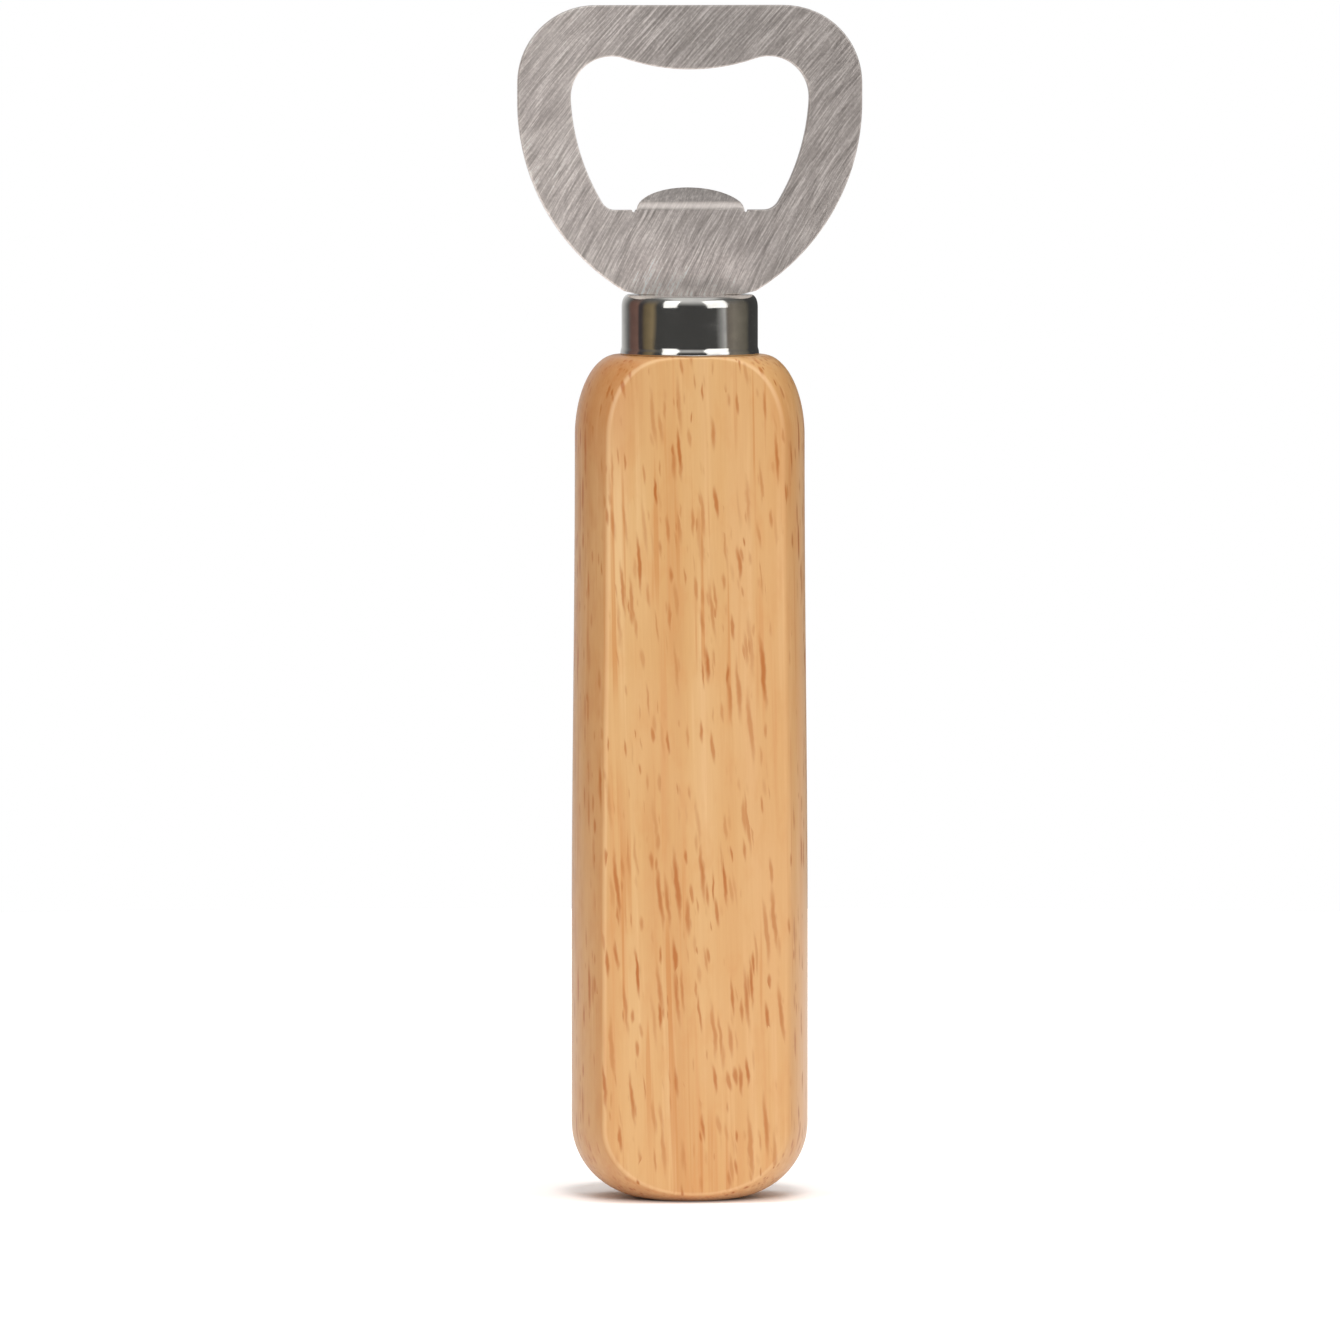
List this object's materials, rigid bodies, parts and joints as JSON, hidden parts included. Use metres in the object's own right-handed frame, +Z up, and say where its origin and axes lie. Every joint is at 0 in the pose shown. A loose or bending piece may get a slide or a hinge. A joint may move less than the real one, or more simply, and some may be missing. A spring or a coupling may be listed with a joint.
{
  "type": "bottle opener",
  "caption": "Bottle opener with a flat stamped steel head, a bent prying tongue in its window, a polished ferrule and a turned wooden handle with flat front and back faces.",
  "frame": {"origin": "middle of the handle's butt, on the surface that the opener stands on", "axes": "+Z up the opener's length to the head, +X across the head, +Y through the thickness from the front flat to the back, the way the tongue is bent"},
  "size_m": [0.042, 0.0178, 0.1455],
  "materials": {
    "head_steel": "coarse diagonal brushing",
    "ferrule_metal": "polished",
    "handle_wood": "satin clear lacquer over light straight-grained hardwood",
    "adhesive": "set two-part adhesive, cream"
  },
  "bodies": {
    "root": {"opener_head": "head_steel", "ferrule": "ferrule_metal", "handle": "handle_wood", "tang_adhesive": "adhesive"}
  },
  "joints": []
}
